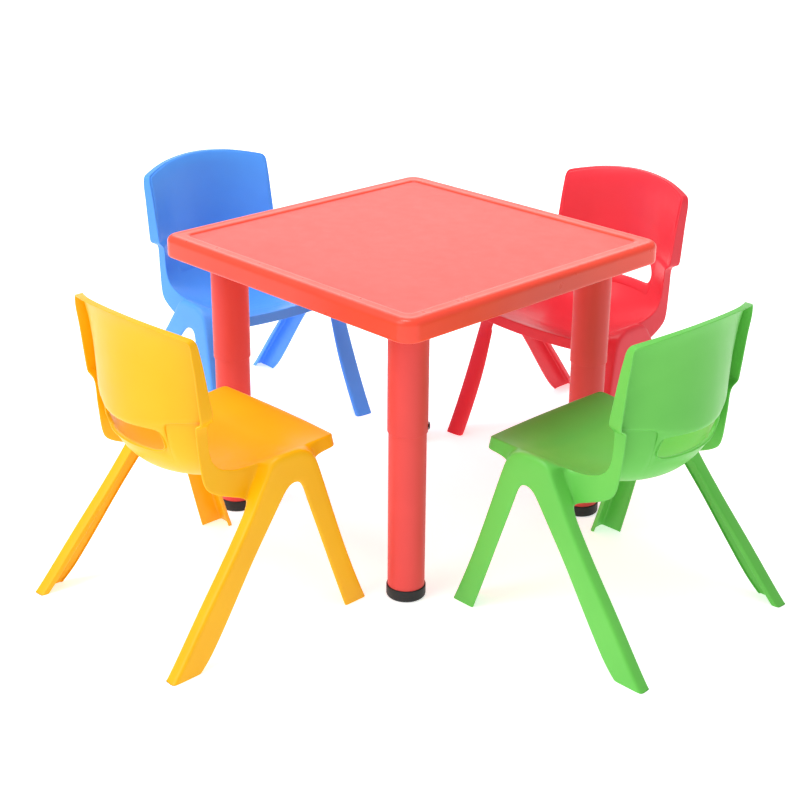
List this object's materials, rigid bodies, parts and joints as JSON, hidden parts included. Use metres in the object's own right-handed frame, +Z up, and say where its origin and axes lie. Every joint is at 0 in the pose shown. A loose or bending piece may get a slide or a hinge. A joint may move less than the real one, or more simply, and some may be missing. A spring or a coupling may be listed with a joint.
{
  "type": "kids table and chairs",
  "caption": "Square plastic play table on telescoping legs with moulded stacking chairs, each with a curved back and a hand slot.",
  "frame": {"origin": "on the floor, in the middle of the footprint of table and chairs", "axes": "+Z up, +X from the blue chair to the green chair, +Y from the yellow chair to the red chair"},
  "size_m": [1.4117, 1.3236, 0.52],
  "materials": {
    "table_red": "smooth semi-gloss moulded plastic",
    "leg_red": "smooth semi-gloss plastic tube",
    "foot_black": "black moulded plastic",
    "screw_black": "black coated screw",
    "steel": "zinc-plated steel",
    "yellow_plastic": "smooth semi-gloss moulded polypropylene",
    "green_plastic": "smooth semi-gloss moulded polypropylene",
    "blue_plastic": "smooth semi-gloss moulded polypropylene",
    "red_plastic": "smooth semi-gloss moulded polypropylene"
  },
  "bodies": {
    "table": {"table_top": "table_red", "fixing_screws": "steel", "front_upper_tube": "leg_red", "front_lock_nut": "steel", "right_upper_tube": "leg_red", "right_lock_nut": "steel", "back_upper_tube": "leg_red", "back_lock_nut": "steel", "left_upper_tube": "leg_red", "left_lock_nut": "steel"},
    "front_lower_leg": {"front_lower_tube": "leg_red", "front_foot_cap": "foot_black"},
    "front_screw": {"front_lock_screw": "screw_black"},
    "right_lower_leg": {"right_lower_tube": "leg_red", "right_foot_cap": "foot_black"},
    "right_screw": {"right_lock_screw": "screw_black"},
    "back_lower_leg": {"back_lower_tube": "leg_red", "back_foot_cap": "foot_black"},
    "back_screw": {"back_lock_screw": "screw_black"},
    "left_lower_leg": {"left_lower_tube": "leg_red", "left_foot_cap": "foot_black"},
    "left_screw": {"left_lock_screw": "screw_black"},
    "yellow_seat": {"yellow_chair": "yellow_plastic"},
    "green_seat": {"green_chair": "green_plastic"},
    "blue_seat": {"blue_chair": "blue_plastic"},
    "red_seat": {"red_chair": "red_plastic"}
  },
  "joints": [
    {"name": "front_leg_slide", "type": "slide", "parent": "table", "child": "front_lower_leg", "axis": [0, 0, -1], "range_m": [0, 0.1]},
    {"name": "front_screw_turn", "type": "hinge", "parent": "table", "child": "front_screw", "pos_m": [0.28363, -0.20537, 0.298], "axis": [0.7071, 0.7071, 0], "continuous": true},
    {"name": "right_leg_slide", "type": "slide", "parent": "table", "child": "right_lower_leg", "axis": [0, 0, -1], "range_m": [0, 0.1]},
    {"name": "right_screw_turn", "type": "hinge", "parent": "table", "child": "right_screw", "pos_m": [0.23837, 0.23263, 0.298], "axis": [-0.7071, 0.7071, 0], "continuous": true},
    {"name": "back_leg_slide", "type": "slide", "parent": "table", "child": "back_lower_leg", "axis": [0, 0, -1], "range_m": [0, 0.1]},
    {"name": "back_screw_turn", "type": "hinge", "parent": "table", "child": "back_screw", "pos_m": [-0.19963, 0.18737, 0.298], "axis": [-0.7071, -0.7071, 0], "continuous": true},
    {"name": "left_leg_slide", "type": "slide", "parent": "table", "child": "left_lower_leg", "axis": [0, 0, -1], "range_m": [0, 0.1]},
    {"name": "left_screw_turn", "type": "hinge", "parent": "table", "child": "left_screw", "pos_m": [-0.19963, -0.20537, 0.298], "axis": [-0.7071, 0.7071, 0], "continuous": true},
    {"name": "yellow_chair_pull", "type": "slide", "parent": "table", "child": "yellow_seat", "axis": [0, -1, 0], "range_m": [0, 0.25]},
    {"name": "green_chair_pull", "type": "slide", "parent": "table", "child": "green_seat", "axis": [1, 0, 0], "range_m": [0, 0.25]},
    {"name": "blue_chair_pull", "type": "slide", "parent": "table", "child": "blue_seat", "axis": [-1, 0, 0], "range_m": [-0.09, 0.2]},
    {"name": "red_chair_pull", "type": "slide", "parent": "table", "child": "red_seat", "axis": [0, 1, 0], "range_m": [0, 0.25]}
  ]
}
